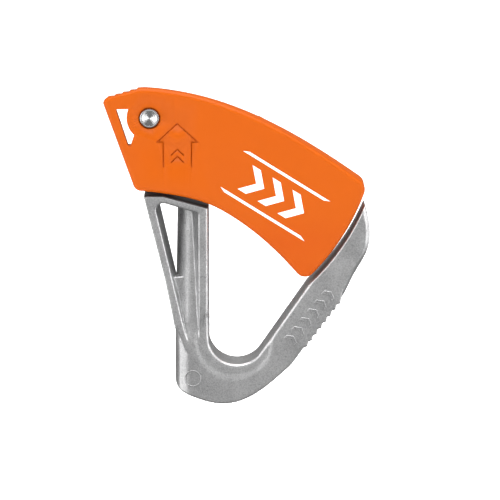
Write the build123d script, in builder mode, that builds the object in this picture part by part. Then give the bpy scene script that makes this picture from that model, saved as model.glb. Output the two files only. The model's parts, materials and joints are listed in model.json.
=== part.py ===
from build123d import *
from math import acos, asin, atan2, cos, degrees, radians, sin, sqrt, tan
import os

# Rope ascender: a forged frame that clamps a rope in a toothed channel, and a sprung lever
# that keeps the rope in. X runs to the right, Y to the back, Z up the rope.
# The origin is on the rope's axis, in the smooth lower end of the channel.

# Rope and channel
ROPE_D = 11.0  # thickest rope
ROPE_ROOM = 0.25  # radial room round that rope
CHANNEL_WALL = 2.45
CHANNEL_CORNER_R = 4.5  # outer rounding of the channel's wall
CHANNEL_R = ROPE_D / 2 + ROPE_ROOM
CHANNEL_OUT = CHANNEL_R + CHANNEL_WALL

# Forged plate
PLATE_DEPTH = 10.4
PLATE_GAP = 0.1  # plate to the thickest rope
PLATE_BACK = ROPE_D / 2 + PLATE_GAP
PLATE_FRONT = PLATE_BACK + PLATE_DEPTH
LEG_BEVEL = 0.9
SEAT_BEVEL = 0.5

# Carabiner opening
SEAT_R = 7.6
SEAT_Z = 10.3
WALL_TOP_ANGLE = -47.0  # about the pivot, where the right leg's inner wall meets the lever's arc
LEG_W = 8.7  # right leg, from its inner wall to the roots of the thumb ridges
HORN_DROP = 23.4  # pivot to the horn's tip

# Left leg
SHOULDER_Z = 48.6
SHOULDER_DROP = 3.2  # fall of the shoulder from its kink to the opening
SHOULDER_KINK_X = -11.8
LEG_TOP_X = -17.0
STRUT_W = 3.8  # outer strut of the leg, at the window's top
WINDOW_DROP = 2.7  # shoulder to the window's top
WINDOW_RIGHT_X = -3.4
WINDOW_LOW_Z = 9.0
WINDOW_CORNER_R = 1.1
WINDOW_TAPER = 4.5  # degrees; the window is wider at the front
WINDOW_DRAFT = 1.9  # extra slant of its right wall, down to the channel
WEB_TOP_Z = 26.1
WEB_SETBACK = 3.9  # web behind the plate's front
FOOT_EXTRA = 0.7  # foot's side beyond the channel's wall
FOOT_SIDE_Z = -2.4  # lower end of the foot's straight side
FOOT_BOTTOM_Z = -8.0
FOOT_MERGE_Z = 8.8  # height where the channel's wall reaches the plate's front
NECK_LENGTH = 12.0  # pivot to where the neck widens into the leg

# Lever pivot
PIVOT_X = -15.3
PIVOT_RISE = 20.8  # shoulder to the pivot
LEVER_REACH = 60.1  # pivot to the lever's round end
LEVER_GAP = 1.3  # lever's end to the frame's arc
OPEN_ANGLE = 22.0

# Ear, rivet, bush and washer
EAR_R = 5.4
EAR_T = 4.0
NECK_W = 5.6
NOSE_ANGLE = 45.0  # nose on the ear that stops the open lever
NOSE_W = 2.4
NOSE_REACH = 7.2
SHANK_R = 1.5
BUSH_R = 2.2
RUNNING_FIT = 0.05
HEAD_LAP = 0.35  # rivet's head beyond the bush
HEAD_T = 1.0
HEAD_ROUND = 0.3
HEAD_ROOM = 0.35  # radial room round the head in the lever's recess
HEAD_PROUD = 0.1
SIDE_PLAY = 0.1
TAIL_R = 2.3
TAIL_T = 0.9
WASHER_R = 3.6
WASHER_T = 0.6

# Lever moulding
COVER_SETBACK = 0.5  # lever's face behind the plate's face
COVER_LIFT = 1.2  # lever's lower corner above the frame's shoulder
OVER_SHOULDER = 0.75  # lever's bottom edge above the end of the shoulder
COVER_SKIN = 2.4
LOBE_T = 3.0
COVER_DEPTH = 9.0
COVER_WALL = 1.9
COVER_ROUND = 1.2
COVER_SIDE_ROUND = 1.0
COVER_CORNER_R = 2.1
COVER_SLANT_X = -9.0  # the lever grows deeper to the right of here
POST_R = 0.9  # posts that stop the lever
POST_GAP = 0.1
POST_DROP = 9.5  # pivot to the post that stops the lever at rest
FINGER_T = 2.6
FINGER_H = 7.0
FINGER_HOOK = 52.0  # degrees that the finger's tip bends round the rope
FINGER_GAP = 0.35  # finger to the thickest rope
FINGER_RISE = 1.9  # lever's bottom edge to the finger
SLOT_REACH = 6.0  # pivot to the round side of the cord slot
SLOT_TOP_ANGLE = 156.0
SLOT_LOW_ANGLE = 228.0
RIB_X = (14.0, 26.0)
RIB_T = 1.3
RIB_DEPTH = 5.0
ARROW_OUT = 7.3  # pivot to the arrow's middle
ARROW_TIP_DROP = 1.4  # pivot to the arrow's tip
ARROW_HEAD = 4.9
ARROW_TAIL = 6.8
ARROW_W = 10.6
ARROW_SHAFT = 7.4
ARROW_LINE = 0.35
ARROW_CUT = 0.3
CHEVRONS = 2  # small chevrons inside the arrow
CHEVRON_TOP = 1.9
CHEVRON_PITCH = 1.9
CHEVRON_W = 3.4

# Torsion spring
WIRE_D = 0.8
COIL_ROOM = 0.3  # inside of the coil to the bush
COIL_TURN_GAP = 0.1
COIL_WHOLE_TURNS = 2
HOOK_DROP = 7.5  # pivot to the leg that hooks round the neck
HOOK_GAP = 0.05
COIL_GAP = 0.55  # coil to the lever and to the ear, as the legs run on along its slope

# Tooth plate
CHANNEL_RELIEF = 0.4  # the channel is this much wider beside the tooth plate
LINER_T = 0.9
LINER_LOW_Z = 13.0
LINER_HIGH_Z = 43.0
LINER_HALF_ANGLE = 52.0
TOOTH_R = 0.62
TOOTH_POINT_R = 0.06
TOOTH_H = 1.9
TOOTH_ROOT = 0.3  # root of a tooth sunk in the plate
TOOTH_TILT = 25.0
TOOTH_PITCH = 3.0
TOOTH_ANGLES = (-34.0, 0.0, 34.0)
LINER_RIVET_R = 0.9
LINER_RIVET_HEAD_R = 1.5
LINER_RIVET_INSET = 2.6  # rivet to the end of the tooth plate

THROUGH = 60.0  # longer than any wall
BEYOND = 20.0  # past the model's edge

PIVOT_Z = SHOULDER_Z + PIVOT_RISE
FOOT_SIDE_X = -(CHANNEL_OUT + FOOT_EXTRA)
HEAD_R = BUSH_R + HEAD_LAP
COIL_PITCH = WIRE_D + COIL_TURN_GAP
COVER_FRONT = PLATE_FRONT - COVER_SETBACK
COVER_BACK = COVER_FRONT - COVER_DEPTH
LOBE_BACK = COVER_FRONT - LOBE_T
HEAD_FRONT = COVER_FRONT + HEAD_PROUD
HEAD_BACK = HEAD_FRONT - HEAD_T
COIL_R = BUSH_R + COIL_ROOM + WIRE_D / 2
COIL_FRONT = LOBE_BACK - COIL_GAP
COIL_DEPTH = (COIL_WHOLE_TURNS + 0.5) * COIL_PITCH + WIRE_D
EAR_FRONT = COIL_FRONT - COIL_DEPTH - COIL_GAP
EAR_BACK = EAR_FRONT - EAR_T
OPEN_POST_REACH = EAR_R + POST_R + 0.3
LINER_R = CHANNEL_R + CHANNEL_RELIEF
LINER_SEAT_R = LINER_R + LINER_T
ARC_R = LEVER_REACH + LEVER_GAP


def front(depth):
    """Front-view plane at a distance in front of the rope's axis."""
    return Plane.XZ.offset(depth)


def about_pivot(radius, angle):
    """Point of the front view at a radius and an angle from the pivot."""
    return (PIVOT_X + radius * cos(radians(angle)), PIVOT_Z + radius * sin(radians(angle)))


def angle_at_height(radius, z):
    """Angle about the pivot at which a circle, right of it, reaches height z."""
    return degrees(atan2(z - PIVOT_Z, sqrt(radius**2 - (z - PIVOT_Z) ** 2)))


def bowed(start, end, bows):
    """Points from start to end, each a share of the way along and a distance to the left of the chord."""
    run, rise = end[0] - start[0], end[1] - start[1]
    length = sqrt(run**2 + rise**2)
    middle = [
        (start[0] + share * run - bow * rise / length, start[1] + share * rise + bow * run / length)
        for share, bow in bows
    ]
    return [start, *middle, end]


def shifted(points, distance):
    """Open line of points moved to its left by a distance."""
    moved = []
    for n, (x, z) in enumerate(points):
        before, after = points[max(n - 1, 0)], points[min(n + 1, len(points) - 1)]
        run, rise = after[0] - before[0], after[1] - before[1]
        length = sqrt(run**2 + rise**2)
        moved.append((x - distance * rise / length, z + distance * run / length))
    return moved


def liner_section():
    """Closed arc strip between the tooth plate's inside and the bottom of its seat."""
    with BuildLine() as strip:
        for radius in (LINER_R, LINER_SEAT_R):
            CenterArc((0, 0), radius, 180 - LINER_HALF_ANGLE, 2 * LINER_HALF_ANGLE)
        for end in (radians(180 - LINER_HALF_ANGLE), radians(180 + LINER_HALF_ANGLE)):
            direction = Vector(cos(end), sin(end))
            Line(direction * LINER_R, direction * LINER_SEAT_R)
    return strip.line


# Outline of the frame. The right leg's inner wall touches the round seat and ends at the lever's
# arc, and leg_point gives places on that leg: along its wall from the seat, and out from the wall.
wall_top = about_pivot(ARC_R, WALL_TOP_ANGLE)
to_wall_top = Vector(wall_top[0] - SEAT_R, wall_top[1] - SEAT_Z)
leg_slope = atan2(to_wall_top.Y, to_wall_top.X) + asin(SEAT_R / to_wall_top.length)
wall_dir = Vector(cos(leg_slope), sin(leg_slope))
wall_out = Vector(sin(leg_slope), -cos(leg_slope))
seat_end = (SEAT_R + SEAT_R * wall_out.X, SEAT_Z + SEAT_R * wall_out.Y)
wall_length = (Vector(*wall_top) - Vector(*seat_end)).length


def leg_point(along, out):
    """Point of the right leg, along its inner wall and out from it."""
    point = Vector(*seat_end) + wall_dir * along + wall_out * out
    return (point.X, point.Y)


horn_tip = about_pivot(ARC_R, angle_at_height(ARC_R, PIVOT_Z - HORN_DROP))
arc_middle = about_pivot(ARC_R, WALL_TOP_ANGLE + 13.0)
shoulder_end = (0.0, SHOULDER_Z - SHOULDER_DROP)
horn_points = [(horn_tip[0] + x, horn_tip[1] + z) for x, z in ((-2.87, -18.7), (0.83, -11.6), (1.33, -6.4))]
foot_x = FOOT_SIDE_X / 2

THUMB_RIDGES = 8
THUMB_FIRST = 7.8  # seat to the first ridge, along the wall
THUMB_PITCH = 2.09
THUMB_RISE = (0.74, 0.64)  # along and out
THUMB_SPREAD = 0.07  # the ridges move out by this, each from the last
thumb_feet = [
    (THUMB_FIRST + n * THUMB_PITCH, LEG_W + n * THUMB_SPREAD) for n in range(THUMB_RIDGES + 1)
]
thumb_points = []
for along, out in thumb_feet[:-1]:
    thumb_points += [leg_point(along, out), leg_point(along + THUMB_RISE[0], out + THUMB_RISE[1])]
thumb_end = leg_point(*thumb_feet[-1])

liner_rivet_heights = (LINER_LOW_Z + LINER_RIVET_INSET, LINER_HIGH_Z - LINER_RIVET_INSET)

with BuildPart() as frame:
    with BuildSketch(front(PLATE_BACK)):
        with BuildLine():
            Polyline(
                (LEG_TOP_X, SHOULDER_Z), (-11.6, WEB_TOP_Z + 0.5), (-9.3, 15.0), (foot_x, 3.0),
                (foot_x, FOOT_BOTTOM_Z - 1.0), (thumb_points[0][0], FOOT_BOTTOM_Z - 1.0),
                *thumb_points, thumb_end,
            )
            Spline(thumb_end, *horn_points, horn_tip, tangents=[wall_dir, (-0.3, 1.0)])
            ThreePointArc(horn_tip, arc_middle, wall_top)
            Line(wall_top, seat_end)
            ThreePointArc(seat_end, (SEAT_R, SEAT_Z - SEAT_R), (0.0, SEAT_Z))
            Polyline((0.0, SEAT_Z), shoulder_end, (SHOULDER_KINK_X, SHOULDER_Z), (LEG_TOP_X, SHOULDER_Z))
        make_face()
    extrude(amount=PLATE_DEPTH)

    # Bevels along the carabiner opening and the right leg's outer curve.
    face_edges = frame.edges().filter_by(lambda e: abs(e.center().Y + PLATE_FRONT) < 0.01)
    seat_edges = face_edges.filter_by(
        lambda e: (e @ 0.5 - Vector(SEAT_R, -PLATE_FRONT, SEAT_Z)).length < SEAT_R + 0.01
    )
    wall_edges = face_edges.filter_by(
        lambda e: abs(e.length - wall_length) < 0.01 and e.geom_type == GeomType.LINE
    )
    chamfer(seat_edges + wall_edges, SEAT_BEVEL)
    horn_edges = frame.edges().filter_by(
        lambda e: abs(e.center().Y + PLATE_FRONT) < 0.01 and e.geom_type == GeomType.BSPLINE
    )
    chamfer(horn_edges, LEG_BEVEL)

    # Triangular window of the left leg, wider at the front.
    with BuildSketch(front(PLATE_BACK)) as window:
        with BuildLine():
            Polyline(
                (LEG_TOP_X + STRUT_W, SHOULDER_Z - WINDOW_DROP), (-5.7, WINDOW_LOW_Z + 4.0),
                (-4.6, WINDOW_LOW_Z), (WINDOW_RIGHT_X, WINDOW_LOW_Z),
                (WINDOW_RIGHT_X, SHOULDER_Z - WINDOW_DROP - 2.5),
                (SHOULDER_KINK_X + 0.3, SHOULDER_Z - WINDOW_DROP), close=True,
            )
        make_face()
        fillet(window.vertices().sort_by(Axis.Y)[-2:], WINDOW_CORNER_R)
    extrude(amount=PLATE_DEPTH, taper=-WINDOW_TAPER, mode=Mode.SUBTRACT)

    # Slanted right wall of the window.
    with BuildSketch(Plane.XY.offset(WINDOW_LOW_Z)):
        with BuildLine():
            draft_x = WINDOW_RIGHT_X + PLATE_DEPTH * tan(radians(WINDOW_TAPER))
            Polyline(
                (draft_x + 0.1, -PLATE_FRONT + 0.1), (draft_x - WINDOW_DRAFT, -CHANNEL_OUT),
                (draft_x + 0.1, -CHANNEL_OUT), close=True,
            )
        make_face()
    extrude(amount=SHOULDER_Z - 1.3 * WINDOW_DROP - WINDOW_LOW_Z)

    # Channel wall: its outside leans forward as it runs down into the foot.
    with BuildSketch(Plane.XY.offset(SHOULDER_Z)) as top_section:
        with Locations((-CHANNEL_OUT / 2, 0)):
            Rectangle(CHANNEL_OUT, 2 * CHANNEL_OUT)
        fillet(top_section.vertices().group_by(Axis.X)[0], CHANNEL_CORNER_R)
    with BuildSketch(Plane.XY.offset(FOOT_MERGE_Z)) as foot_section:
        with Locations((FOOT_SIDE_X / 2, (CHANNEL_OUT - PLATE_FRONT) / 2)):
            Rectangle(-FOOT_SIDE_X, CHANNEL_OUT + PLATE_FRONT)
        fillet(foot_section.vertices().group_by(Axis.X)[0], CHANNEL_CORNER_R)
    loft()
    extrude(to_extrude=foot_section.sketch, amount=-BEYOND)

    # Web between the leg's outer strut and the channel.
    with BuildSketch(front(PLATE_BACK)):
        with BuildLine():
            Polyline((-11.6, WEB_TOP_Z), (-4.0, WEB_TOP_Z), (-4.0, 6.0), (-8.0, 6.0), close=True)
        make_face()
    extrude(amount=PLATE_DEPTH - WEB_SETBACK)

    # Bottom curve of the foot and the right leg.
    with BuildSketch(front(-THROUGH / 2)):
        with BuildLine():
            foot_top = (FOOT_SIDE_X, FOOT_MERGE_Z + 3.0)
            foot_corner = (FOOT_SIDE_X, FOOT_SIDE_Z)
            Line(foot_top, foot_corner)
            Spline(
                foot_corner, (FOOT_SIDE_X + 4.0, FOOT_BOTTOM_Z + 2.2), (3.4, FOOT_BOTTOM_Z),
                leg_point(-9.5, LEG_W - 3.2), leg_point(0.5, LEG_W - 0.4), thumb_points[0],
                tangents=[(0.35, -1.0), wall_dir],
            )
            Polyline(
                thumb_points[0], (thumb_points[0][0], -BEYOND), (-BEYOND, -BEYOND),
                (-BEYOND, foot_top[1]), foot_top,
            )
        make_face()
    extrude(amount=THROUGH, mode=Mode.SUBTRACT)

    # Shoulder slope over the channel's wall.
    with BuildSketch(front(-THROUGH / 2)):
        with BuildLine():
            Polyline(
                (SHOULDER_KINK_X, SHOULDER_Z), shoulder_end, (BEYOND, shoulder_end[1]),
                (BEYOND, SHOULDER_Z + BEYOND), (SHOULDER_KINK_X, SHOULDER_Z + BEYOND), close=True,
            )
        make_face()
    extrude(amount=THROUGH, mode=Mode.SUBTRACT)

    # Ear and neck that carry the pivot.
    with BuildSketch(front(EAR_BACK)):
        with BuildLine():
            Polyline(
                (LEG_TOP_X + 0.5, SHOULDER_Z - 1.5), (PIVOT_X - NECK_W / 2, PIVOT_Z - NECK_LENGTH),
                (PIVOT_X - NECK_W / 2, PIVOT_Z), (PIVOT_X + NECK_W / 2, PIVOT_Z),
                (PIVOT_X + NECK_W / 2, PIVOT_Z - NECK_LENGTH), (-CHANNEL_R, SHOULDER_Z - 3.5), close=True,
            )
        make_face()
        with Locations((PIVOT_X, PIVOT_Z)):
            Circle(EAR_R)
        with Locations(Location((PIVOT_X, PIVOT_Z), NOSE_ANGLE)):
            Rectangle(NOSE_REACH, NOSE_W, align=(Align.MIN, Align.CENTER))
    extrude(amount=EAR_T)
    with Locations(Pos(PIVOT_X, -EAR_FRONT, PIVOT_Z) * Rot(X=90)):
        Hole(SHANK_R)

    # Rope channel, relieved beside the tooth plate, and the tooth plate's seat and rivet holes.
    with BuildSketch(Plane.XY.offset(-BEYOND)):
        Circle(CHANNEL_R)
    extrude(amount=SHOULDER_Z + 2 * BEYOND, mode=Mode.SUBTRACT)
    with BuildSketch(Plane.XY.offset(LINER_LOW_Z)):
        Circle(LINER_R)
    extrude(amount=LINER_HIGH_Z - LINER_LOW_Z, mode=Mode.SUBTRACT)
    with BuildSketch(Plane.XY.offset(LINER_LOW_Z)):
        add(liner_section())
        make_face()
    extrude(amount=LINER_HIGH_Z - LINER_LOW_Z, mode=Mode.SUBTRACT)
    for z in liner_rivet_heights:
        with Locations(Plane((-CHANNEL_OUT, 0, z), x_dir=(0, 1, 0), z_dir=(-1, 0, 0))):
            Hole(LINER_RIVET_R, depth=CHANNEL_OUT)
frame.part.label = "frame"

# Tooth plate
tooth_rows = int((LINER_HIGH_Z - LINER_LOW_Z - 4 * LINER_RIVET_INSET) / TOOTH_PITCH)
first_row_z = (LINER_LOW_Z + LINER_HIGH_Z - tooth_rows * TOOTH_PITCH) / 2

with BuildPart() as tooth_plate:
    with BuildSketch(Plane.XY.offset(LINER_LOW_Z)):
        add(liner_section())
        make_face()
    extrude(amount=LINER_HIGH_Z - LINER_LOW_Z)
    for z in liner_rivet_heights:
        with Locations(Plane((-LINER_R, 0, z), x_dir=(0, 1, 0), z_dir=(1, 0, 0))):
            CounterSinkHole(LINER_RIVET_R, LINER_RIVET_HEAD_R, depth=2 * LINER_T, counter_sink_angle=90)
    # Conical teeth point into the channel and down, so the rope only runs downwards past them.
    for row in range(tooth_rows + 1):
        for angle in TOOTH_ANGLES:
            out = radians(180 + angle)
            root = LINER_R + TOOTH_ROOT
            foot = Vector(root * cos(out), root * sin(out), first_row_z + row * TOOTH_PITCH)
            lean = radians(TOOTH_TILT)
            point = Vector(-cos(out) * cos(lean), -sin(out) * cos(lean), -sin(lean))
            with Locations(Plane(foot, z_dir=point)):
                Cone(TOOTH_R, TOOTH_POINT_R, TOOTH_H, align=(Align.CENTER, Align.CENTER, Align.MIN))
tooth_plate.part.label = "tooth_plate"

with BuildPart() as tooth_plate_rivets:
    for z in liner_rivet_heights:
        with BuildSketch(Plane((-LINER_R, 0, z), x_dir=(0, 1, 0), z_dir=(-1, 0, 0))):
            Circle(LINER_RIVET_R)
        extrude(amount=CHANNEL_OUT - LINER_R)
tooth_plate_rivets.part.label = "tooth_plate_rivets"

# Pivot: a headed rivet, the bush that the lever turns on, and a washer under the rivet's tail
tail_y = WASHER_T - EAR_BACK

with BuildPart() as pivot_rivet:
    with BuildSketch(Plane((PIVOT_X, 0, PIVOT_Z), x_dir=(1, 0, 0), z_dir=(0, 0, 1))):
        with BuildLine():
            Polyline(
                (0, -HEAD_FRONT), (HEAD_R - HEAD_ROUND, -HEAD_FRONT), (HEAD_R, HEAD_ROUND - HEAD_FRONT),
                (HEAD_R, -HEAD_BACK), (SHANK_R, -HEAD_BACK), (SHANK_R, tail_y), (TAIL_R, tail_y),
                (TAIL_R, tail_y + 0.4 * TAIL_T), (0.75 * TAIL_R, tail_y + TAIL_T),
                (0, tail_y + TAIL_T), (0, -HEAD_FRONT),
            )
        make_face()
    revolve(axis=Axis((PIVOT_X, 0, PIVOT_Z), (0, 1, 0)))
pivot_rivet.part.label = "pivot_rivet"

with BuildPart() as pivot_bush:
    with BuildSketch(front(EAR_FRONT)):
        with Locations((PIVOT_X, PIVOT_Z)):
            Circle(BUSH_R)
            Circle(SHANK_R, mode=Mode.SUBTRACT)
    extrude(amount=HEAD_BACK - EAR_FRONT)
pivot_bush.part.label = "pivot_bush"

with BuildPart() as pivot_washer:
    with BuildSketch(front(EAR_BACK)):
        with Locations((PIVOT_X, PIVOT_Z)):
            Circle(WASHER_R)
            Circle(SHANK_R, mode=Mode.SUBTRACT)
    extrude(amount=-WASHER_T)
pivot_washer.part.label = "pivot_washer"

# Lever: its corners lie about the pivot, and its bottom edge starts over the frame's shoulder
GRIP_RIDGES = 5
GRIP_OUT = 11.1  # pivot to the first ridge
GRIP_RISE = 5.1
GRIP_PITCH = (1.92, 0.56)
GRIP_STEP = (0.35, 0.42)
TOP_CORNER_ANGLE = -17.5
TOP_CORNER_R = 3.0
LOW_CORNER_ANGLE = -47.2
LOW_CORNER_R = 2.8
grip_start = (PIVOT_X - GRIP_OUT, PIVOT_Z + GRIP_RISE)
grip_feet = [
    (grip_start[0] + n * GRIP_PITCH[0], grip_start[1] + n * GRIP_PITCH[1]) for n in range(GRIP_RIDGES + 1)
]
grip_peaks = [(x + GRIP_STEP[0], z + GRIP_STEP[1]) for x, z in grip_feet[:-1]]
lobe_top = (grip_start[0] - 1.2, grip_start[1] - 0.9)
lobe_low = (LEG_TOP_X - 2.2, SHOULDER_Z + COVER_LIFT + 0.1)
top_corner = about_pivot(LEVER_REACH, TOP_CORNER_ANGLE)
round_middle = about_pivot(LEVER_REACH, (TOP_CORNER_ANGLE + LOW_CORNER_ANGLE) / 2)
low_corner = about_pivot(LEVER_REACH, LOW_CORNER_ANGLE)
top_edge = bowed(grip_feet[-1], top_corner, ((0.21, 3.65), (0.47, 4.75), (0.78, 2.75)))
over_shoulder = (0.5, shoulder_end[1] + OVER_SHOULDER)
over_slope = (SHOULDER_KINK_X / 2, SHOULDER_Z - SHOULDER_DROP / 2 + OVER_SHOULDER + 0.35)
bottom_edge = bowed(low_corner, over_shoulder, ((0.52, -1.8), (0.82, -1.2)))
bottom_edge += [over_slope, (LEG_TOP_X, SHOULDER_Z + COVER_LIFT)]
post_depth = LOBE_BACK - EAR_BACK

# The rest post meets the neck's right side, and the open post swings up to the ear's nose.
rest_post = (PIVOT_X + NECK_W / 2 + POST_R + POST_GAP, PIVOT_Z - POST_DROP)
nose_half_angle = degrees(asin((NOSE_W / 2 + POST_R + POST_GAP) / OPEN_POST_REACH))
open_post = about_pivot(OPEN_POST_REACH, NOSE_ANGLE - OPEN_ANGLE - nose_half_angle)

finger_in = ROPE_D / 2 + FINGER_GAP
finger_out = finger_in + FINGER_T
finger_low = bottom_edge[2][1] + FINGER_RISE

with BuildPart() as cover:
    with BuildSketch(front(COVER_FRONT)) as cover_face:
        with BuildLine():
            Polyline(lobe_top, grip_peaks[0], grip_peaks[-1], grip_feet[-1])
            Spline(top_edge)
            ThreePointArc(top_corner, round_middle, low_corner)
            Spline(bottom_edge)
            Polyline(bottom_edge[-1], lobe_low, lobe_top)
        make_face()
        fillet(cover_face.vertices().sort_by_distance((*top_corner, 0))[0], TOP_CORNER_R)
        fillet(cover_face.vertices().sort_by_distance((*low_corner, 0))[0], LOW_CORNER_R)
        fillet(cover_face.vertices().sort_by_distance((*lobe_low, 0))[0], COVER_CORNER_R)
        fillet(cover_face.vertices().sort_by_distance((*lobe_top, 0))[0], COVER_SIDE_ROUND)
    extrude(amount=-COVER_DEPTH)
    front_rim = cover.faces().filter_by(Axis.Y).sort_by(Axis.Y)[0].outer_wire()
    fillet(front_rim.edges(), COVER_ROUND)

    # Grip notches in the thumb's edge, each steep on its lower side.
    with BuildSketch(front(COVER_FRONT)):
        for before, foot, after in zip(grip_peaks, grip_feet[1:], grip_peaks[1:]):
            with BuildLine():
                Polyline(before, foot, after, (foot[0] - 1.0, foot[1] + 2.0), close=True)
            make_face()
    extrude(amount=-COVER_DEPTH, mode=Mode.SUBTRACT)

    # The back slants, so the lever is thin at the pivot and deep at its round end.
    with BuildSketch(Plane.XY):
        with BuildLine():
            round_end_x = PIVOT_X + LEVER_REACH
            Polyline(
                (lobe_top[0] - BEYOND, -LOBE_BACK), (COVER_SLANT_X, -LOBE_BACK), (round_end_x, -COVER_BACK),
                (round_end_x, BEYOND), (lobe_top[0] - BEYOND, BEYOND), close=True,
            )
        make_face()
    extrude(amount=PIVOT_Z + BEYOND, mode=Mode.SUBTRACT)

    # Hollow behind the face, with walls along the top, the round end and the bottom.
    with BuildSketch(front(COVER_FRONT - COVER_SKIN)):
        with BuildLine():
            roof = shifted(top_edge, -COVER_WALL)
            floor = shifted(bottom_edge, -COVER_WALL)
            roof_out = (roof[-1][0] + BEYOND / 2, roof[-1][1] - BEYOND / 3)
            floor_out = (floor[0][0] + BEYOND / 2, floor[0][1] - BEYOND / 2)
            Spline(roof)
            Polyline(roof[-1], roof_out, floor_out, floor[0])
            Spline(floor)
            Line(floor[-1], roof[0])
        make_face()
        with Locations((PIVOT_X, PIVOT_Z)):
            Circle(LEVER_REACH - COVER_WALL, mode=Mode.INTERSECT)
        with Locations((COVER_SLANT_X + 1.0, SHOULDER_Z)):
            Rectangle(THROUGH, 2 * THROUGH, align=(Align.MAX, Align.CENTER), mode=Mode.SUBTRACT)
    extrude(amount=-COVER_DEPTH, mode=Mode.SUBTRACT)

    # Cord slot in the thin lobe, round the ear.
    with BuildSketch(front(COVER_FRONT)):
        with BuildLine():
            slot_top = about_pivot(SLOT_REACH, SLOT_TOP_ANGLE)
            slot_low = about_pivot(SLOT_REACH, SLOT_LOW_ANGLE)
            slot_side = [
                (PIVOT_X - out, PIVOT_Z + rise) for out, rise in ((5.0, -7.3), (5.7, -7.3), (8.7, 1.9), (8.6, 2.4))
            ]
            slot_middle = about_pivot(SLOT_REACH, (SLOT_TOP_ANGLE + SLOT_LOW_ANGLE) / 2)
            ThreePointArc(slot_top, slot_middle, slot_low)
            Polyline(slot_low, *slot_side, slot_top)
        make_face()
    extrude(amount=-COVER_DEPTH, mode=Mode.SUBTRACT)

    # Recess for the rivet's head, and the hole that runs on the bush.
    with BuildSketch(front(COVER_FRONT)):
        with Locations((PIVOT_X, PIVOT_Z)):
            Circle(HEAD_R + HEAD_ROOM)
    extrude(amount=-(HEAD_T - HEAD_PROUD + SIDE_PLAY), mode=Mode.SUBTRACT)
    with BuildSketch(front(COVER_FRONT)):
        with Locations((PIVOT_X, PIVOT_Z)):
            Circle(BUSH_R + RUNNING_FIT)
    extrude(amount=-COVER_DEPTH, mode=Mode.SUBTRACT)

    # Posts that stop the lever against the frame's neck.
    with BuildSketch(front(LOBE_BACK + 0.5)):
        with Locations(rest_post, open_post):
            Circle(POST_R)
    extrude(amount=-post_depth - 0.5)

    # Finger that reaches back round the rope and keeps it in the channel.
    with BuildSketch(Plane.XY.offset(finger_low)):
        with BuildLine():
            root_y = COVER_SKIN / 2 - COVER_FRONT
            tip = Vector(cos(radians(FINGER_HOOK)), sin(radians(FINGER_HOOK)))
            Polyline((finger_in, 0.0), (finger_in, root_y), (finger_out, root_y), (finger_out, 0.0))
            CenterArc((0, 0), finger_out, 0, FINGER_HOOK)
            CenterArc((0, 0), finger_in, 0, FINGER_HOOK)
            Line(tip * finger_in, tip * finger_out)
        make_face()
    extrude(amount=FINGER_H)

    # Ribs that stiffen the hollow.
    for x in RIB_X:
        with BuildSketch(front(COVER_FRONT - COVER_ROUND)):
            with Locations((x, SHOULDER_Z)):
                Rectangle(RIB_T, 2 * THROUGH)
            add(cover_face.sketch.face().translate((0, COVER_ROUND, 0)), mode=Mode.INTERSECT)
        extrude(amount=-RIB_DEPTH)

    # Direction arrow with chevrons inside it, cut into the face as outlines.
    with BuildSketch(front(COVER_FRONT)):
        with BuildLine():
            arrow_x = PIVOT_X + ARROW_OUT
            tip_z = PIVOT_Z - ARROW_TIP_DROP
            barb_z = tip_z - ARROW_HEAD
            left, right = arrow_x - ARROW_SHAFT / 2, arrow_x + ARROW_SHAFT / 2
            Polyline(
                (left, barb_z - ARROW_TAIL), (left, barb_z), (arrow_x - ARROW_W / 2, barb_z),
                (arrow_x, tip_z), (arrow_x + ARROW_W / 2, barb_z), (right, barb_z),
                (right, barb_z - ARROW_TAIL),
            )
            for n in range(CHEVRONS):
                point_z = barb_z - CHEVRON_TOP - n * CHEVRON_PITCH
                Polyline(
                    (arrow_x - CHEVRON_W / 2, point_z - CHEVRON_W / 2), (arrow_x, point_z),
                    (arrow_x + CHEVRON_W / 2, point_z - CHEVRON_W / 2),
                )
        trace(line_width=ARROW_LINE)
    extrude(amount=-ARROW_CUT, mode=Mode.SUBTRACT)
cover.part.label = "cover"

# Return spring: one leg presses the rest post towards the neck, the other hooks round its far side
def tangent_angle(x, z, side):
    """Angle on the coil where a straight leg to a point beside the pivot leaves it."""
    return degrees(atan2(z, x)) + side * degrees(acos(COIL_R / sqrt(x**2 + z**2)))


push_point = (rest_post[0] - PIVOT_X + POST_R + WIRE_D / 2 + HOOK_GAP, -POST_DROP)
hook_point = (-NECK_W / 2 - WIRE_D / 2 - HOOK_GAP, -HOOK_DROP)
push_angle = tangent_angle(*push_point, 1)
hook_angle = tangent_angle(*hook_point, -1)
coil_turns = COIL_WHOLE_TURNS + ((hook_angle - push_angle) % 360) / 360
push_length = sqrt(push_point[0] ** 2 + push_point[1] ** 2 - COIL_R**2) + POST_R
hook_length = sqrt(hook_point[0] ** 2 + hook_point[1] ** 2 - COIL_R**2)
coil_plane = Plane(
    (PIVOT_X, -EAR_FRONT - WIRE_D / 2 - COIL_GAP, PIVOT_Z),
    x_dir=(cos(radians(hook_angle)), 0, sin(radians(hook_angle))),
    z_dir=(0, -1, 0),
)

coil = coil_plane * Helix(COIL_PITCH, coil_turns * COIL_PITCH, COIL_R, lefthand=True)

hook_end = coil @ 0 - (coil % 0) * hook_length

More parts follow.
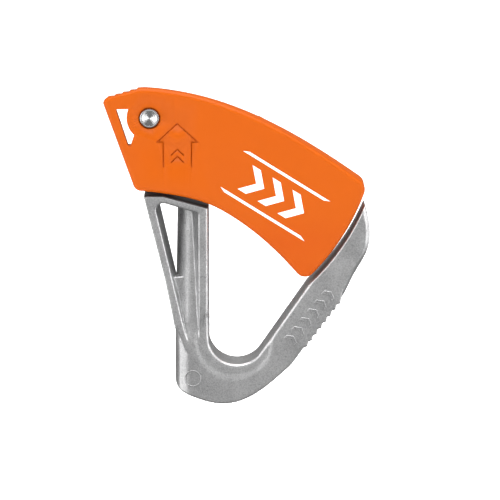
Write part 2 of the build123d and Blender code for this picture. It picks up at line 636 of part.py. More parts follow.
with BuildPart() as return_spring:
    with BuildSketch(Plane(coil @ 0, z_dir=coil % 0)):
        Circle(WIRE_D / 2)
    sweep(path=coil, is_frenet=True)
    with BuildSketch(Plane(coil @ 1, z_dir=coil % 1)):
        Circle(WIRE_D / 2)
    extrude(amount=push_length)
    with BuildSketch(Plane(coil @ 0, z_dir=coil % 0)):
        Circle(WIRE_D / 2)
    extrude(amount=-hook_length - WIRE_D / 2)
    with BuildSketch(Plane(hook_end, z_dir=(0, 1, 0))):
        Circle(WIRE_D / 2)
    extrude(amount=EAR_T)
return_spring.part.label = "return_spring"

os.makedirs("parts", exist_ok=True)
pieces = (
    frame, tooth_plate, tooth_plate_rivets, cover, pivot_rivet, pivot_bush, pivot_washer, return_spring,
)
for piece in pieces:
    export_step(piece.part, f"parts/{piece.part.label}.step")
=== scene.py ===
import json
import math

import bmesh
import bpy
from bpy.props import FloatProperty, FloatVectorProperty, IntProperty, PointerProperty
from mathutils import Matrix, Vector


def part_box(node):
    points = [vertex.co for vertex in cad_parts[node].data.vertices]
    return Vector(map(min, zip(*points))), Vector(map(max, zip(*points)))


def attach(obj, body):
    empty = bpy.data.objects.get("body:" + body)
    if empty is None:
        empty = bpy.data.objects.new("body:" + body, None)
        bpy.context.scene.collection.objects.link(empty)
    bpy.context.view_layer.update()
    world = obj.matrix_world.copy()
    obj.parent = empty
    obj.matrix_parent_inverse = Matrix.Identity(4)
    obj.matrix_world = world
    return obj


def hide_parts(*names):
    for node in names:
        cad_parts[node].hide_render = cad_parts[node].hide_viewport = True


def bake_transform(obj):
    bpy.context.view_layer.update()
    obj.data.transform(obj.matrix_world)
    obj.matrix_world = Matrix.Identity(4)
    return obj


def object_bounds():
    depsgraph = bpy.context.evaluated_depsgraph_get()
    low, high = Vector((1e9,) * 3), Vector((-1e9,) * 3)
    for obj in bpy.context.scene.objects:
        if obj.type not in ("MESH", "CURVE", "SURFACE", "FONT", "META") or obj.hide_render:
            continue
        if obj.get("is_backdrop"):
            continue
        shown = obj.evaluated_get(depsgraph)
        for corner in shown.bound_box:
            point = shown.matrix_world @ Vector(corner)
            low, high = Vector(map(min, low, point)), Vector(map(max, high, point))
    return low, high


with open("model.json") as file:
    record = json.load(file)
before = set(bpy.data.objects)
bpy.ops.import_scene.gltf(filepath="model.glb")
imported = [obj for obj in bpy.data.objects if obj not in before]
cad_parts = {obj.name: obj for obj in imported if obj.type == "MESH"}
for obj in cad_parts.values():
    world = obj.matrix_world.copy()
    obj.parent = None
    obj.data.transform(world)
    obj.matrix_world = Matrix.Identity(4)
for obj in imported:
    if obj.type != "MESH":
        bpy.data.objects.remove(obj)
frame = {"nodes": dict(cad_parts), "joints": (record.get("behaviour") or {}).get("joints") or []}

bl_info = {
    "name": "Rope ascender",
    "version": (1, 0, 0),
    "blender": (4, 5, 0),
    "location": "View3D > Sidebar > Ascender",
    "description": "Builds the finished surfaces of a rope ascender round its packed frame",
    "category": "Object",
}

MM = 0.001
MERGE = 0.0005 * MM  # points closer than this are one
SHARP_DEGREES = 35  # edges sharper than this stay sharp
SKIN_FILL = 0.99  # share of the skin's grid that the frame fills
FEWEST_CELLS = 1000  # a skin with fewer has failed
FLOOR_HALF = 9.0  # half the floor's side, in metres
SENSOR_WIDTH = 36  # camera's sensor, in millimetres
FRONT_FULL, FRONT_END = 0.5 * MM, 1.5 * MM  # depths where the front face's sinking is full, and ends
FRAME_BODY = "frame_body"
LEVER_BODY = "lever_body"

cad_low, cad_high = (Vector(corner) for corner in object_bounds())
frame_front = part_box("frame")[0].y
lever_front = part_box("cover")[0].y
rivet_low, rivet_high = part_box("pivot_rivet")
bush_low, bush_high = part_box("pivot_bush")
washer_low, washer_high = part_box("pivot_washer")
pivot = Vector(frame["joints"][0]["pos_m"])


# ---------------------------------------------------------------------------------------- settings
def length(name, text, default):
    """A length property in metres, given here in millimetres."""
    return FloatProperty(name=name, description=text, default=default * MM, unit="LENGTH", precision=5)


def colour(name, text, default):
    """A linear colour property."""
    return FloatVectorProperty(
        name=name, description=text, default=default, size=3, subtype="COLOR", min=0.0, max=1.0
    )


def number(name, text, default):
    """A whole number property."""
    return IntProperty(name=name, description=text, default=default)


def angle(name, text, degrees):
    """An angle property in radians, given here in degrees."""
    return FloatProperty(name=name, description=text, default=math.radians(degrees), subtype="ANGLE")


def strength(name, text, default):
    """A light's radiance."""
    return FloatProperty(name=name, description=text, default=default)


class ForgingSettings(bpy.types.PropertyGroup):
    """Sizes and colours of the forged frame."""

    grain_light: colour("Light grain", "Tumbled aluminium, bright grains", (0.74, 0.74, 0.74))
    grain_dark: colour("Dark grain", "Tumbled aluminium, dull grains", (0.43, 0.43, 0.435))
    halvings: number("Halvings", "Halvings of the frame's size that give the cell of its skin", 8)
    softening: number("Softening", "Passes that round the forged edges", 2)
    skin: length("Front skin", "Depth taken off the front face, so that raised marks stay inside it", 0.22)
    land_radius: length("Land radius", "Recessed land round the carabiner seat", 10.3)
    land_depth: length("Land depth", "Depth of that land", 0.38)
    land_edge_in: length("Land edge, inner", "Where the land's edge starts, inside its radius", 1.2)
    land_edge_out: length("Land edge, outer", "Where the land's edge ends, outside its radius", 0.7)
    land_x: length("Land middle X", "Middle of the land", 6.8)
    land_z: length("Land middle Z", "Middle of the land", 9.3)
    mark_radius: length("Tool mark radius", "Ring left by the forging die's pin", 2.1)
    mark_x: length("Tool mark X", "Middle of that ring", -4.2)
    mark_z: length("Tool mark Z", "Middle of that ring", -1.0)
    mark_wire: length("Tool mark width", "Radius of the ring's line", 0.13)
    mark_sunk: length("Tool mark depth", "How far the ring's middle is sunk in the face", 0.03)
    leg_marks: number("Leg marks", "Raised chevrons along the right leg", 6)
    leg_mark_x: length("First leg mark X", "Middle of the lowest chevron", 22.2)
    leg_mark_z: length("First leg mark Z", "Middle of the lowest chevron", 9.8)
    leg_mark_step_x: length("Leg mark step X", "From one chevron to the next", 1.98)
    leg_mark_step_z: length("Leg mark step Z", "From one chevron to the next", 2.43)
    leg_mark_size: length("Leg mark size", "Height of a chevron across the leg", 3.7)
    leg_mark_arm: length("Leg mark arm", "Width of a chevron's arm", 1.3)
    leg_mark_point: length("Leg mark point", "How far a chevron's point stands out", 1.1)
    leg_mark_line: length("Leg mark line", "Width of the raised line round a chevron", 0.5)
    leg_mark_slope: length("Leg mark slope", "Slanted side of that line", 0.15)
    leg_mark_root: length("Leg mark root", "Depth of the chevrons' roots in the face", 0.1)


class LeverSettings(bpy.types.PropertyGroup):
    """Colours of the lever's moulding and the size of its print."""

    nylon: colour("Nylon", "Orange moulding", (0.475, 0.082, 0.001))
    nylon_deep: colour("Nylon, deep", "Redder orange low on the moulding", (0.455, 0.066, 0.001))
    ink: colour("Print", "White print on the face", (0.93, 0.93, 0.92))
    print_x: length("Print X", "Middle of the print", 17.6)
    print_z: length("Print Z", "Middle of the print", 48.9)
    print_tilt: angle("Print tilt", "Fall of the print to the right", 32)
    ink_depth: length("Print thickness", "Thickness of the print", 0.04)
    chevron_pitch: length("Chevron pitch", "From one printed chevron to the next", 6.2)
    chevron_height: length("Chevron height", "Height of a printed chevron", 7.44)
    chevron_arm: length("Chevron arm", "Width of a printed chevron's arm", 2.5)
    chevron_point: length("Chevron point", "How far a printed chevron's point stands out", 3.4)
    rule_length: length("Rule length", "Length of the rules beside the chevrons", 25.0)
    rule_width: length("Rule width", "Width of those rules", 0.7)
    rule_spread: length("Rule spread", "From one rule to the other", 12.0)
    rule_slant: length("Rule slant", "Slant of the rules' ends", 0.8)


class PivotSettings(bpy.types.PropertyGroup):
    """Finish of the turned rivet, bush and washer."""

    steel: colour("Turned steel", "Bright lathe-turned steel", (0.72, 0.72, 0.72))
    groove_pitch: length("Groove pitch", "Feed marks left by the lathe", 0.15)
    groove_depth: length("Groove depth", "Depth of those marks", 0.031)
    around: number("Facets", "Steps round a turned piece", 96)
    dimple_radius: length("Dimple radius", "Point that the lathe leaves in the middle of the head", 0.07)
    dimple_depth: length("Dimple depth", "Depth of that point", 0.10)
    dimple_lip: length("Dimple lip", "Depth of the point's lip", 0.02)
    first_groove: length("First groove", "Radius of the innermost groove", 0.2)
    head_edge: length("Head edge", "Rounding of the head's edge", 0.28)
    shank_radius: length("Shank radius", "Rivet's shank, which is the bore of the bush and washer", 1.5)
    tail_radius: length("Tail radius", "Rivet's rolled tail", 2.3)
    sleeve_edge: length("Sleeve edge", "Broken edges of the bush and washer", 0.1)


class HardwareSettings(bpy.types.PropertyGroup):
    """Finish of the tooth plate, its rivets and the spring."""

    plate: colour("Tooth plate", "Plain stainless sheet", (0.52, 0.52, 0.53))
    wire: colour("Spring wire", "Drawn steel wire", (0.46, 0.45, 0.44))
    front_turn: length("Front turn", "Depth at the spring's front that turns with the lever", 1.1)
    back_turn: length("Back turn", "Depth in front of the ear that stays with the frame", 1.0)


class StageSettings(bpy.types.PropertyGroup):
    """Floor, lights and camera."""

    floor_colour: colour("Floor", "Pale floor", (0.92, 0.92, 0.92))
    floor_drop: length("Floor drop", "Floor below the origin", 62.0)
    lens: FloatProperty(name="Lens", description="Camera lens", default=200.0, unit="CAMERA")
    view_width: length("View width", "Width of the view at the object", 132.5)
    view_x: length("View X", "Middle of the view", 11.1)
    view_y: length("View Y", "Middle of the view", -15.5)
    view_z: length("View Z", "Middle of the view", 34.1)
    elevation: angle("Elevation", "Camera above level", 12)
    side_light: strength("Side lights", "Radiance of the side lights", 2.6)
    top_light: strength("Top light", "Radiance of the top light", 5.6)
    front_light: strength("Front light", "Radiance of the front fill", 0.62)
    room_light: strength("Room light", "Radiance of the room", 0.2)


# --------------------------------------------------------------------------------------- materials
class Value:
    """A node's output that can be added, subtracted, multiplied and divided in an expression."""

    def __init__(self, finish, socket):
        self.finish = finish
        self.socket = socket

    def maths(self, operation, *operands):
        """One Math node on this value's tree."""
        return self.finish.value("Math", {"operation": operation}, dict(enumerate(operands)))

    def __add__(self, other):
        return self.maths("ADD", self, other)

    __radd__ = __add__

    def __mul__(self, other):
        return self.maths("MULTIPLY", self, other)

    __rmul__ = __mul__

    def __sub__(self, other):
        return self.maths("SUBTRACT", self, other)

    def __rsub__(self, other):
        return self.maths("SUBTRACT", other, self)

    def root(self):
        return self.maths("SQRT", self)

    def sine(self):
        return self.maths("SINE", self)

    def least(self, other):
        return self.maths("MINIMUM", self, other)

    def most(self, other):
        return self.maths("MAXIMUM", self, other)

    def ramp(self, low, high):
        """0 below low, 1 above high, with a soft step between them."""
        return self.finish.value(
            "MapRange",
            {"interpolation_type": "SMOOTHSTEP"},
            {"Value": self, "From Min": low, "From Max": high, "To Min": 0.0, "To Max": 1.0},
            "Result",
        )


# Sockets of a Mix node that mixes colours.
MIX_FACTOR, MIX_FIRST, MIX_SECOND, MIX_RESULT = 0, 6, 7, 2


class Finish:
    """A node material in the making, on Object coordinates in metres."""

    def __init__(self, name, **constants):
        self.material = bpy.data.materials.new(name)
        self.material.use_nodes = True
        self.tree = self.material.node_tree
        self.shader = self.tree.nodes["Principled BSDF"]
        for socket, setting in constants.items():
            self.shader.inputs[socket.replace("_", " ")].default_value = setting
        self.place = self.value("TexCoord", {}, {}, "Object")
        axes = self.node("SeparateXYZ", {}, {"Vector": self.place})
        self.x, self.z = (Value(self, axes.outputs[axis]) for axis in "XZ")

    def node(self, kind, settings, sockets):
        """Adds a shader node: its settings first, then the values or links of its sockets."""
        made = self.tree.nodes.new("ShaderNode" + kind)
        for key, setting in settings.items():
            setattr(made, key, setting)
        for key, given in sockets.items():
            if isinstance(given, Value):
                self.tree.links.new(given.socket, made.inputs[key])
            elif made.inputs[key].type == "RGBA" and len(given) == 3:
                made.inputs[key].default_value = (*given, 1.0)
            else:
                made.inputs[key].default_value = given
        return made

    def value(self, kind, settings, sockets, output=0):
        """Adds a node and gives one of its outputs as a value."""
        return Value(self, self.node(kind, settings, sockets).outputs[output])

    def noise(self, period, detail=2.0, stretch=(1, 1, 1), roughness=0.5):
        """Noise whose blobs are about a period wide, in metres, drawn out along the axes by stretch."""
        scale = [1 / (period * factor) for factor in stretch]
        place = self.value("Mapping", {}, {"Vector": self.place, "Scale": scale}, "Vector")
        sockets = {"Vector": place, "Scale": 1.0, "Detail": detail, "Roughness": roughness}
        return self.value("TexNoise", {}, sockets, "Fac")

    def mix(self, factor, first, second):
        """Colour between two colours."""
        sockets = {MIX_FACTOR: factor, MIX_FIRST: first, MIX_SECOND: second}
        return self.value("Mix", {"data_type": "RGBA"}, sockets, MIX_RESULT)

    def relief(self, height, depth, share):
        """Bump of a height field on the surface, feeding the shader's normal."""
        sockets = {"Height": height, "Distance": depth, "Strength": share}
        self.feed("Normal", self.value("Bump", {}, sockets, "Normal"))

    def feed(self, socket, given):
        """Links a value to the shader."""
        self.tree.links.new(given.socket, self.shader.inputs[socket])


def forged_aluminium(settings):
    """Satin tumbled forging: fine bright grain, dull clouds, small pits and painted shade on the shoulder."""
    metal = Finish("forged_aluminium")
    grain = metal.noise(0.30 * MM, detail=3.0, roughness=0.62)
    cloud = metal.noise(7.0 * MM, detail=3.0)
    pits = metal.noise(0.85 * MM, detail=2.0).ramp(0.60, 0.72)
    tone = (grain - 0.5) * 1.5 + (cloud - 0.5) * 0.8 + 0.5 - pits * 0.22
    bare = metal.mix(tone.ramp(0.0, 1.0), settings.grain_dark, settings.grain_light)

    # Painted shade: the shoulder's top face is painted black for the dark gap under the lever, not the neck
    # above it, nor the right leg beyond the opening.
    above = metal.z - shoulder_height(metal.x)
    painted_gap_shade = above.ramp(-0.34 * MM, -0.16 * MM) * (1 - above.ramp(0.10 * MM, 0.30 * MM))
    painted_gap_shade = painted_gap_shade * (1 - metal.x.ramp(0.8 * MM, 1.6 * MM))
    # Painted shade: near-black, dull and not metallic where the gap's darkness is painted on the shoulder.
    metal.feed("Base Color", metal.mix(painted_gap_shade, bare, (0.012, 0.012, 0.013)))
    metal.feed("Metallic", 1 - painted_gap_shade)
    metal.feed("Roughness", (grain * 0.14 + pits * 0.10 + 0.40).most(painted_gap_shade * 0.55))
    metal.relief(grain * 0.7 + cloud * 0.8 - pits * 0.9, 0.035 * MM, 0.85)
    return metal.material


def shoulder_height(x):
    """Height of the frame's shoulder, which is level up to its kink and then falls to the opening."""
    kink_x, level, fall, run = -11.8 * MM, 48.6 * MM, 3.2, 11.8
    return (level - (x - kink_x) * (fall / run)).least(level)


def orange_nylon(settings):
    """Moulded nylon: a fine spark-eroded texture and a redder tone low on the piece."""
    nylon = Finish("orange_nylon", IOR=1.46, Specular_IOR_Level=0.16)
    texture = nylon.noise(0.22 * MM, detail=2.0)
    flow = nylon.noise(16.0 * MM, detail=2.0, stretch=(1.6, 1, 0.7))
    low = 1 - nylon.z.ramp(28 * MM, 56 * MM)
    tone = low * 0.55 + (flow - 0.5) * 1.1 + (texture - 0.5) * 0.35
    nylon.feed("Base Color", nylon.mix(tone.ramp(0.0, 1.0), settings.nylon, settings.nylon_deep))
    nylon.feed("Roughness", texture * 0.16 + 0.36)
    nylon.relief(texture, 0.02 * MM, 0.5)
    return nylon.material


def white_ink(settings):
    """Pad print, with pinholes where the texture shows through."""
    ink = Finish("white_ink")
    speck = ink.noise(0.35 * MM, detail=2.0)
    bare = speck.ramp(0.70, 0.78) * 0.5
    ink.feed("Base Color", ink.mix(bare, settings.ink, (0.85, 0.45, 0.25)))
    ink.feed("Roughness", speck * 0.15 + 0.42)
    ink.relief(speck, 0.01 * MM, 0.4)
    return ink.material


def turned_steel(settings):
    """Lathe-turned steel: fine rings round the pivot, on top of the cut grooves."""
    steel = Finish("turned_steel", Metallic=1.0)
    across, up = steel.x - pivot.x, steel.z - pivot.z
    radius = (across * across + up * up).root()
    rings = (radius * (math.tau / (0.09 * MM))).sine()
    wear = steel.noise(0.9 * MM, detail=3.0)
    steel.feed("Base Color", steel.mix(wear.ramp(0.3, 0.7), 0.86 * settings.steel, settings.steel))
    steel.feed("Roughness", wear * 0.12 + 0.17)
    steel.relief(rings * 0.5 + wear * 0.4, 0.004 * MM, 0.5)
    return steel.material


def stainless_sheet(settings):
    """Rolled stainless sheet, brushed along the rope."""
    sheet = Finish("stainless_sheet", Metallic=1.0)
    brushed = sheet.noise(0.10 * MM, detail=2.0, stretch=(1, 1, 14))
    stain = sheet.noise(2.5 * MM, detail=3.0)
    tone = (brushed * 0.6 + stain * 0.4).ramp(0.3, 0.7)
    sheet.feed("Base Color", sheet.mix(tone, 0.75 * settings.plate, settings.plate))
    sheet.feed("Roughness", brushed * 0.2 + 0.24)
    sheet.relief(brushed, 0.01 * MM, 0.6)
    return sheet.material


def spring_wire(settings):
    """Drawn wire with faint die lines."""
    wire = Finish("spring_wire", Metallic=1.0)
    lines = wire.noise(0.06 * MM, detail=2.0)
    stain = wire.noise(1.4 * MM, detail=2.0)
    wire.feed("Base Color", wire.mix(stain.ramp(0.3, 0.7), 0.7 * settings.wire, settings.wire))
    wire.feed("Roughness", lines * 0.2 + 0.22)
    wire.relief(lines, 0.006 * MM, 0.5)
    return wire.material


# ------------------------------------------------------------------------------------- mesh helpers
def new_object(name, shape):
    """Links an object made of a bmesh, which it frees."""
    mesh = bpy.data.meshes.new(name)
    shape.to_mesh(mesh)
    shape.free()
    made = bpy.data.objects.new(name, mesh)
    bpy.context.scene.collection.objects.link(made)
    return made


def coat(piece, material):
    """Makes a material the only one of a piece."""
    piece.data.materials.clear()
    piece.data.materials.append(material)


def new_piece(name, shape, material, body=None, replaced=()):
    """Makes a piece with its finish, shaded smooth between its sharp edges, on its body."""
    piece = new_object(name, shape)
    coat(piece, material)
    piece.data.shade_smooth()
    piece.data.set_sharp_from_angle(angle=math.radians(SHARP_DEGREES))
    if body:
        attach(piece, body)
    if replaced:
        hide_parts(*replaced)
    return piece


def merged_copy(node):
    """The CAD node's shape as a bmesh whose loose triangles are joined."""
    copied = bmesh.new()
    copied.from_mesh(frame["nodes"][node].data)
    bmesh.ops.remove_doubles(copied, verts=copied.verts, dist=MERGE)
    return copied


def turned(profile, around):
    """A solid turned about the pivot's axis from (radius, depth) points that start and end on it."""
    made = bmesh.new()
    corners = [made.verts.new((pivot.x + radius, depth, pivot.z)) for radius, depth in profile]
    for first, second in zip(corners, corners[1:]):
        made.edges.new((first, second))
    spin_round(made, pivot, around)
    bmesh.ops.remove_doubles(made, verts=made.verts, dist=MERGE)
    bmesh.ops.recalc_face_normals(made, faces=made.faces)
    return made


def spin_round(made, middle, around):
    """Sweeps a bmesh once round an axis that points backwards."""
    bmesh.ops.spin(
        made, geom=made.verts[:] + made.edges[:], cent=middle, axis=(0, 1, 0),
        angle=math.tau, steps=around, use_merge=True, use_duplicate=False,
    )


def raised_shape(made, outline, front_y, thickness):
    """Adds a flat shape in the front view, with its face at front_y and its thickness behind it."""
    corners = [made.verts.new((x, front_y + thickness, z)) for x, z in outline]
    face = made.faces.new(corners)
    grown = bmesh.ops.extrude_face_region(made, geom=[face])
    moved = [item for item in grown["geom"] if isinstance(item, bmesh.types.BMVert)]
    bmesh.ops.translate(made, verts=moved, vec=(0, -thickness, 0))


def chevron(middle, along, height, arm, point):
    """Outline of a chevron that points along a direction, from its height, arm's width and point."""
    along = Vector(along).normalized()
    side = Vector((-along.y, along.x))
    half, back, tip = height / 2, -(point + arm) / 2, (point - arm) / 2
    corners = ((back, half), (back + arm, half), (tip + arm, 0), (back + arm, -half), (back, -half), (tip, 0))
    return [middle + along * a + side * b for a, b in corners]


def smooth_step(low, high, given):
    """0 below low, 1 above high, with a soft step between them."""
    share = min(max((given - low) / (high - low), 0.0), 1.0)
    return share * share * (3 - 2 * share)


# ---------------------------------------------------------------------------------------- operators
class BuildStep(bpy.types.Operator):
    """One piece or group of pieces of the ascender."""

    bl_options = {"REGISTER", "UNDO"}


class ASCENDER_OT_frame(BuildStep):
    """Forged frame: soft edges, a recessed land round the seat, and raised marks"""

    bl_idname = "ascender.frame"
    bl_label = "Forged frame"

    def execute(self, context):
        settings = context.scene.ascender_forging
        material = forged_aluminium(settings)
        forging = self.soft_skin(context, settings)
        coat(forging, material)
        forging.data.shade_smooth()
        self.sink_front(forging, settings)
        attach(forging, FRAME_BODY)
        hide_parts("frame")
        self.add_tool_mark(settings, material)
        self.add_leg_marks(settings, material)
        return {"FINISHED"}

    def soft_skin(self, context, settings):
        """The CAD frame with its skin rebuilt in even cells and its edges rounded."""
        forging = new_object("forged_frame", merged_copy("frame"))
        remesh = forging.modifiers.new("skin", "REMESH")
        remesh.mode = "SHARP"
        remesh.octree_depth = settings.halvings
        remesh.scale = SKIN_FILL
        remesh.use_remove_disconnected = False
        context.view_layer.update()
        skin = bpy.data.meshes.new_from_object(forging.evaluated_get(context.evaluated_depsgraph_get()))
        forging.modifiers.remove(remesh)
        if len(skin.polygons) < FEWEST_CELLS:
            raise RuntimeError("the forged frame's skin is missing")
        soft = bmesh.new()
        soft.from_mesh(skin)
        for _ in range(settings.softening):
            bmesh.ops.smooth_vert(
                soft, verts=soft.verts, factor=0.5, use_axis_x=True, use_axis_y=True, use_axis_z=True
            )
        soft.to_mesh(skin)
        soft.free()
        forging.data = skin
        return forging

    def sink_front(self, forging, settings):
        """Takes the front face back, and the land round the seat further back."""
        land_in = settings.land_radius - settings.land_edge_in
        land_out = settings.land_radius + settings.land_edge_out
        for vert in forging.data.vertices:
            near_front = 1 - smooth_step(frame_front + FRONT_FULL, frame_front + FRONT_END, vert.co.y)
            if near_front <= 0:
                continue
            reach = math.hypot(vert.co.x - settings.land_x, vert.co.z - settings.land_z)
            in_land = 1 - smooth_step(land_in, land_out, reach)
            vert.co.y += near_front * (settings.skin + settings.land_depth * in_land)

    def add_tool_mark(self, settings, material):
        """Raised ring left by the forging die's pin."""
        middle = Vector((settings.mark_x, frame_front + settings.skin, settings.mark_z))
        line = middle + Vector((settings.mark_radius, settings.mark_sunk, 0))
        ring = bmesh.new()
        bmesh.ops.create_circle(ring, cap_ends=False, radius=settings.mark_wire, segments=10)
        bmesh.ops.translate(ring, verts=ring.verts, vec=line)
        spin_round(ring, middle, 64)
        bmesh.ops.recalc_face_normals(ring, faces=ring.faces)
        new_piece("tool_mark", ring, material, FRAME_BODY)

    def add_leg_marks(self, settings, material):
        """Row of raised chevrons up the right leg."""
        marks = bmesh.new()
        start = Vector((settings.leg_mark_x, settings.leg_mark_z))
        step = Vector((settings.leg_mark_step_x, settings.leg_mark_step_z))
        sizes = settings.leg_mark_size, settings.leg_mark_arm, settings.leg_mark_point
        for n in range(settings.leg_marks):
            self.raise_line(marks, chevron(start + step * n, step, *sizes), settings)
        bmesh.ops.recalc_face_normals(marks, faces=marks.faces)
        new_piece("leg_marks", marks, material, FRAME_BODY)

    def raise_line(self, marks, outline, settings):
        """Raises a thin line with slanted sides, just inside a flat outline."""
        root = frame_front + settings.skin + settings.leg_mark_root
        rings = []
        for depth, inset in ((root, 0.0), (frame_front, settings.leg_mark_slope)):
            for loop in (inset, settings.leg_mark_line - inset):
                rings.append([marks.verts.new((x, depth, z)) for x, z in self.shrunk(outline, loop)])
        root_out, root_in, top_out, top_in = rings
        sides = (top_out, top_in), (root_out, root_in), (root_out, top_out), (root_in, top_in)
        for n in range(len(outline)):
            for first, second in sides:
                marks.faces.new((first[n - 1], first[n], second[n], second[n - 1]))

    def shrunk(self, outline, inset):
        """Corners of an outline moved inwards by an even distance."""
        inner = []
        for n, corner in enumerate(outline):
            following = outline[(n + 1) % len(outline)]
            first, second = (corner - outline[n - 1]).normalized(), (following - corner).normalized()
            normal = Vector((first.y, -first.x))
            middle = (normal + Vector((second.y, -second.x))).normalized()
            inner.append(corner + middle * (inset / middle.dot(normal)))
        return inner


class ASCENDER_OT_lever(BuildStep):
    """Orange lever moulding and its white print"""

    bl_idname = "ascender.lever"
    bl_label = "Lever"

    def execute(self, context):
        settings = context.scene.ascender_lever
        nylon = orange_nylon(settings)
        new_piece("lever_moulding", merged_copy("cover"), nylon, LEVER_BODY, ["cover"])
        self.add_print(settings)
        return {"FINISHED"}

    def add_print(self, settings):
        """Three white chevrons between two rules, along the lever."""
        along = Vector((math.cos(settings.print_tilt), -math.sin(settings.print_tilt)))
        side = Vector((-along.y, along.x))
        middle = Vector((settings.print_x, settings.print_z))
        sizes = settings.chevron_height, settings.chevron_arm, settings.chevron_point
        outlines = [chevron(middle + along * n * settings.chevron_pitch, along, *sizes) for n in (-1, 0, 1)]
        for sign in (-1, 1):
            rule = middle + side * sign * settings.rule_spread / 2
            outlines.append([rule + along * a + side * b for a, b in self.rule_corners(settings, sign)])
        ink = bmesh.new()
        for outline in outlines:
            raised_shape(ink, outline, lever_front - settings.ink_depth, settings.ink_depth)
        bmesh.ops.recalc_face_normals(ink, faces=ink.faces)
        new_piece("lever_print", ink, white_ink(settings), LEVER_BODY)

    def rule_corners(self, settings, sign):
        """Corners of a thin rule whose ends slant with the chevrons."""
        end, half, slant = settings.rule_length / 2, settings.rule_width / 2, sign * settings.rule_slant
        return (-end - slant, -half), (end - slant, -half), (end + slant, half), (-end + slant, half)


class ASCENDER_OT_pivot(BuildStep):
    """Turned rivet, bush and washer of the pivot"""

    bl_idname = "ascender.pivot"
    bl_label = "Pivot"

    def execute(self, context):
        settings = context.scene.ascender_pivot
        steel = turned_steel(settings)
        self.add_rivet(settings, steel)
        self.add_sleeve("turned_bush", "pivot_bush", bush_low, bush_high, settings, steel)
        self.add_sleeve("turned_washer", "pivot_washer", washer_low, washer_high, settings, steel)
        return {"FINISHED"}

    def add_rivet(self, settings, steel):
        """Rivet with lathe grooves on its head and a rolled tail."""
        front, head_back, tail_start, tail = rivet_low.y, bush_low.y, washer_high.y, rivet_high.y
        head, shank, rolled = (rivet_high.x - rivet_low.x) / 2, settings.shank_radius, settings.tail_radius
        edge, pitch = settings.head_edge, settings.groove_pitch
        profile = [
            (0.0, front + settings.dimple_depth), (settings.dimple_radius, front + settings.dimple_lip),
        ]
        for n in range(int((head - edge - settings.first_groove) / pitch)):
            radius = settings.first_groove + n * pitch
            profile += [(radius, front + settings.groove_depth), (radius + pitch / 2, front)]
        profile += [
            (head - edge, front + 0.01 * MM), (head - 0.3 * edge, front + 0.3 * edge), (head, front + edge),
            (head, head_back), (shank, head_back), (shank, tail_start), (rolled, tail_start),
        ]
        for turn in map(math.radians, (15, 35, 55, 75)):
            profile.append((rolled * math.cos(turn), tail_start + (tail - tail_start) * math.sin(turn)))
        profile.append((0.0, tail))
        shape = turned(profile, settings.around)
        new_piece("turned_rivet", shape, steel, FRAME_BODY, ["pivot_rivet"])

    def add_sleeve(self, name, node, low, high, settings, steel):
        """Ring with broken edges, the size of its CAD node."""
        outer, inner, edge = (high.x - low.x) / 2, settings.shank_radius, settings.sleeve_edge
        profile = [
            (inner, low.y + edge), (inner + edge, low.y), (outer - edge, low.y), (outer, low.y + edge),
            (outer, high.y - edge), (outer - edge, high.y), (inner + edge, high.y), (inner, high.y - edge),
            (inner, low.y + edge),
        ]
        new_piece(name, turned(profile, settings.around), steel, FRAME_BODY, [node])


class ASCENDER_OT_tooth_plate(BuildStep):
    """Tooth plate of the rope channel and its rivets"""

    bl_idname = "ascender.tooth_plate"
    bl_label = "Tooth plate"

    def execute(self, context):
        sheet = stainless_sheet(context.scene.ascender_hardware)
        for node in ("tooth_plate", "tooth_plate_rivets"):
            coat(frame["nodes"][node], sheet)
        return {"FINISHED"}


class ASCENDER_OT_spring(BuildStep):
    """Return spring, which winds up as the lever opens on the real thing; here it is one still piece"""

    bl_idname = "ascender.spring"
    bl_label = "Return spring"

    def execute(self, context):
        settings = context.scene.ascender_hardware
        spring = new_piece(
            "wound_spring", merged_copy("return_spring"), spring_wire(settings),
            replaced=["return_spring"],
        )
        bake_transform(spring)
        return {"FINISHED"}


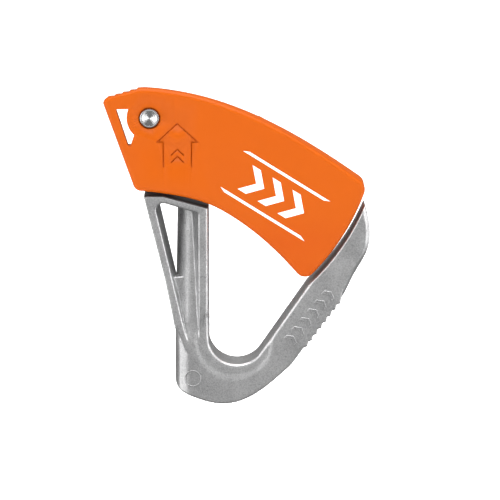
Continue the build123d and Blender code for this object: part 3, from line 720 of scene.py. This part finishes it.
class ASCENDER_OT_stage(BuildStep):
    """Pale floor, soft lights and the camera"""

    bl_idname = "ascender.stage"
    bl_label = "Stage"

    def execute(self, context):
        settings = context.scene.ascender_stage
        self.add_floor(settings)
        middle = Vector((0.5 * (cad_low.x + cad_high.x), 0, 0.5 * (cad_low.z + cad_high.z)))
        # Each light's azimuth from the front and elevation in degrees, distance and sides in metres.
        lights = (
            ("left_light", -62, 5, 1.4, (1.5, 1.5), settings.side_light),
            ("right_light", 66, 5, 1.4, (1.5, 1.5), settings.side_light),
            ("front_light", 0, -6, 1.7, (1.0, 1.2), settings.front_light),
            ("top_light", 0, 84, 1.25, (1.4, 1.3), settings.top_light),
        )
        for name, azimuth, elevation, distance, size, radiance in lights:
            self.add_light(context, name, middle, azimuth, elevation, distance, size, radiance)
        world = bpy.data.worlds.new("room")
        world.use_nodes = True
        background = world.node_tree.nodes["Background"]
        background.inputs["Color"].default_value = (1, 1, 1, 1)
        background.inputs["Strength"].default_value = settings.room_light
        context.scene.world = world
        self.add_camera(context, settings)
        context.scene.view_settings.view_transform = "Standard"
        return {"FINISHED"}

    def add_floor(self, settings):
        """Pale floor that reaches the skyline and doesn't show in the metal."""
        pale = Finish("pale_floor", Roughness=0.8, Emission_Color=(1, 1, 1, 1), Emission_Strength=0.6)
        drift = pale.noise(0.35, detail=1.0)
        pale.feed("Base Color", pale.mix(drift, settings.floor_colour, 0.99 * settings.floor_colour))
        ground = bmesh.new()
        bmesh.ops.create_grid(ground, x_segments=8, y_segments=8, size=FLOOR_HALF)
        bmesh.ops.translate(ground, verts=ground.verts, vec=(0, 0, -settings.floor_drop))
        floor = new_object("floor", ground)
        coat(floor, pale.material)
        floor.visible_glossy = False
        floor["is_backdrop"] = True

    def add_light(self, context, name, middle, azimuth, elevation, distance, size, radiance):
        """Soft box at an azimuth from the front, with a stated radiance."""
        data = bpy.data.lights.new(name, "AREA")
        data.shape = "RECTANGLE"
        data.size, data.size_y = size
        data.energy = radiance * math.pi * data.size * data.size_y
        light = bpy.data.objects.new(name, data)
        context.scene.collection.objects.link(light)
        turn, rise = math.radians(azimuth), math.radians(elevation)
        away = Vector((math.sin(turn) * math.cos(rise), -math.cos(turn) * math.cos(rise), math.sin(rise)))
        light.location = middle + away * distance
        light.rotation_euler = (-away).to_track_quat("-Z", "Y").to_euler()

    def add_camera(self, context, settings):
        """Long lens, a little above level, straight in front."""
        data = bpy.data.cameras.new("camera")
        data.lens = settings.lens
        data.sensor_width = SENSOR_WIDTH
        camera = bpy.data.objects.new("camera", data)
        context.scene.collection.objects.link(camera)
        target = Vector((settings.view_x, settings.view_y, settings.view_z))
        distance = settings.view_width * data.lens / data.sensor_width
        away = Vector((0, -math.cos(settings.elevation), math.sin(settings.elevation)))
        camera.location = target + away * distance
        camera.rotation_euler = (-away).to_track_quat("-Z", "Y").to_euler()
        context.scene.camera = camera


class ASCENDER_PT_panel(bpy.types.Panel):
    """Lists the steps that build the ascender's surfaces."""

    bl_idname = "ASCENDER_PT_panel"
    bl_label = "Ascender"
    bl_space_type = "VIEW_3D"
    bl_region_type = "UI"
    bl_category = "Ascender"

    def draw(self, context):
        for step in STEPS:
            self.layout.operator(step.bl_idname)
        for name in GROUPS:
            box = self.layout.box()
            settings = getattr(context.scene, name)
            for key in settings.__annotations__:
                box.prop(settings, key)


# ------------------------------------------------------------------------------------- registration
STEPS = (
    ASCENDER_OT_frame, ASCENDER_OT_lever, ASCENDER_OT_pivot, ASCENDER_OT_tooth_plate,
    ASCENDER_OT_spring, ASCENDER_OT_stage,
)
GROUPS = {
    "ascender_forging": ForgingSettings,
    "ascender_lever": LeverSettings,
    "ascender_pivot": PivotSettings,
    "ascender_hardware": HardwareSettings,
    "ascender_stage": StageSettings,
}


def register():
    for group in GROUPS.values():
        bpy.utils.register_class(group)
    for step in (*STEPS, ASCENDER_PT_panel):
        bpy.utils.register_class(step)
    for name, group in GROUPS.items():
        setattr(bpy.types.Scene, name, PointerProperty(type=group))


def unregister():
    for name in GROUPS:
        delattr(bpy.types.Scene, name)
    for step in (ASCENDER_PT_panel, *reversed(STEPS)):
        bpy.utils.unregister_class(step)
    for group in reversed(GROUPS.values()):
        bpy.utils.unregister_class(group)


def main():
    register()
    bpy.ops.ascender.frame()
    bpy.ops.ascender.lever()
    bpy.ops.ascender.pivot()
    bpy.ops.ascender.tooth_plate()
    bpy.ops.ascender.spring()
    bpy.ops.ascender.stage()


if __name__ == "__main__":
    main()
